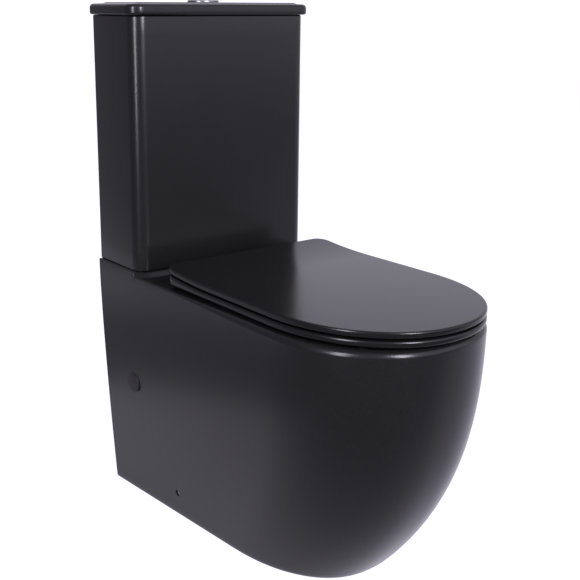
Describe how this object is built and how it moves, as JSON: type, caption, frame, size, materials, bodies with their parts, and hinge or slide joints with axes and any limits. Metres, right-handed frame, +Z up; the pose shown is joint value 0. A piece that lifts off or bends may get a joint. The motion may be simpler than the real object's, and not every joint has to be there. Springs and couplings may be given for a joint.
{
  "type": "close coupled toilet",
  "caption": "Matte black close coupled toilet with a skirted back-to-wall pan, slim soft-close seat, boxy cistern and dual flush button in its lid.",
  "frame": {"origin": "on the floor, under the middle of the overall box", "axes": "+Z up, -Y towards the front of the seat, +Y towards the wall, +X to the right seen from the front facing the wall"},
  "size_m": [0.358, 0.663, 0.8555],
  "materials": {
    "ceramic": "matte black glaze",
    "seat": "satin black thermoset",
    "cap": "satin black",
    "steel": "bright zinc",
    "rubber": "moulded",
    "black_metal": "satin black",
    "button": "dark plated, satin",
    "valve_white": "moulded",
    "valve_grey": "moulded"
  },
  "bodies": {
    "root": {"pan_skirt": "ceramic", "pan_deck": "ceramic", "pan_bowl_upper": "ceramic", "pan_bowl_lower": "ceramic", "pan_duct": "ceramic", "pan_trap": "ceramic", "access_cap_left": "cap", "access_cap_right": "cap", "floor_brackets": "steel", "side_screws": "steel", "support_pads": "rubber", "coupling_seal": "rubber", "cistern": "ceramic", "cistern_bolts": "steel", "cistern_bolt_seals": "rubber", "cistern_bolt_washers": "steel", "cistern_wing_nuts": "valve_grey", "flush_valve_base": "valve_white", "flush_valve_washer": "rubber", "flush_valve_backnut": "valve_grey", "flush_cage": "valve_white", "lever_pins": "steel", "fill_valve_shank": "valve_white", "fill_valve_washer": "rubber", "fill_valve_backnut": "valve_grey", "fill_valve_head": "valve_white", "down_tube": "valve_grey", "hinge_post_left": "black_metal", "hinge_post_right": "black_metal", "hinge_dampers": "valve_grey", "hinge_pins": "steel", "hinge_plates": "steel", "hinge_gaskets": "rubber", "hinge_studs": "steel", "expanding_nuts": "rubber", "stud_nuts": "steel"},
    "cistern_cover": {"cistern_lid": "ceramic", "lid_pads": "rubber", "button_housing": "button", "button_locknut": "valve_white", "full_flush_spring": "steel", "half_flush_spring": "steel"},
    "full_key": {"full_flush_button": "button", "full_flush_rod": "valve_grey"},
    "half_key": {"half_flush_button": "button", "half_flush_rod": "valve_grey"},
    "flush_stem": {"overflow_tube": "valve_white", "stem_link": "valve_grey", "valve_seal": "rubber", "seal_retainer": "valve_grey", "stem_float": "valve_grey"},
    "full_lever": {"full_flush_lever": "valve_grey"},
    "half_lever": {"half_flush_lever": "valve_grey"},
    "water_float": {"fill_float": "valve_grey", "float_rod": "valve_grey"},
    "float_arm": {"float_lever": "valve_grey"},
    "ring": {"seat_ring": "seat", "ring_bumpers": "rubber"},
    "lid": {"seat_lid": "seat", "lid_bumpers": "rubber"}
  },
  "joints": [
    {"name": "seat_lid_hinge", "type": "hinge", "parent": "root", "child": "lid", "pos_m": [0, 0.13, 0.428], "axis": [-1, 0, 0], "range_deg": [0, 95]},
    {"name": "seat_ring_hinge", "type": "hinge", "parent": "root", "child": "ring", "pos_m": [0, 0.13, 0.428], "axis": [-1, 0, 0], "range_deg": [0, 95]},
    {"name": "cistern_lid_lift", "type": "slide", "parent": "root", "child": "cistern_cover", "axis": [0, 0, 1], "range_m": [0, 0.12]},
    {"name": "full_button_press", "type": "slide", "parent": "cistern_cover", "child": "full_key", "axis": [0, 0, -1], "range_m": [0, 0.006], "stiffness_N_per_m": 900, "springref_m": -0.005, "deforming": ["full_flush_spring"]},
    {"name": "half_button_press", "type": "slide", "parent": "cistern_cover", "child": "half_key", "axis": [0, 0, -1], "range_m": [0, 0.006], "stiffness_N_per_m": 900, "springref_m": -0.005, "deforming": ["half_flush_spring"]},
    {"name": "flush_stem_lift", "type": "slide", "parent": "root", "child": "flush_stem", "axis": [0, 0, 1], "range_m": [0, 0.0062]},
    {"name": "full_lever_turn", "type": "hinge", "parent": "root", "child": "full_lever", "pos_m": [-0.006, 0.2695, 0.668], "axis": [0, 1, 0], "range_deg": [0, 20]},
    {"name": "half_lever_turn", "type": "hinge", "parent": "root", "child": "half_lever", "pos_m": [0.006, 0.2575, 0.668], "axis": [0, -1, 0], "range_deg": [0, 20]},
    {"name": "fill_float_rise", "type": "slide", "parent": "root", "child": "water_float", "axis": [0, 0, 1], "range_m": [0, 0.012]},
    {"name": "float_lever_turn", "type": "hinge", "parent": "root", "child": "float_arm", "pos_m": [-0.125, 0.2775, 0.738], "axis": [-1, 0, 0], "range_deg": [0, 21]}
  ],
  "couplings": [
    {"joint": "seat_ring_hinge", "follows": "seat_lid_hinge", "ratio": 1},
    {"joint": "flush_stem_lift", "follows": "full_button_press", "ratio": 1},
    {"joint": "full_lever_turn", "follows": "full_button_press", "rad_per_m": 57.143},
    {"joint": "half_lever_turn", "follows": "half_button_press", "rad_per_m": 57.143},
    {"joint": "float_lever_turn", "follows": "fill_float_rise", "rad_per_m": 29.412}
  ]
}
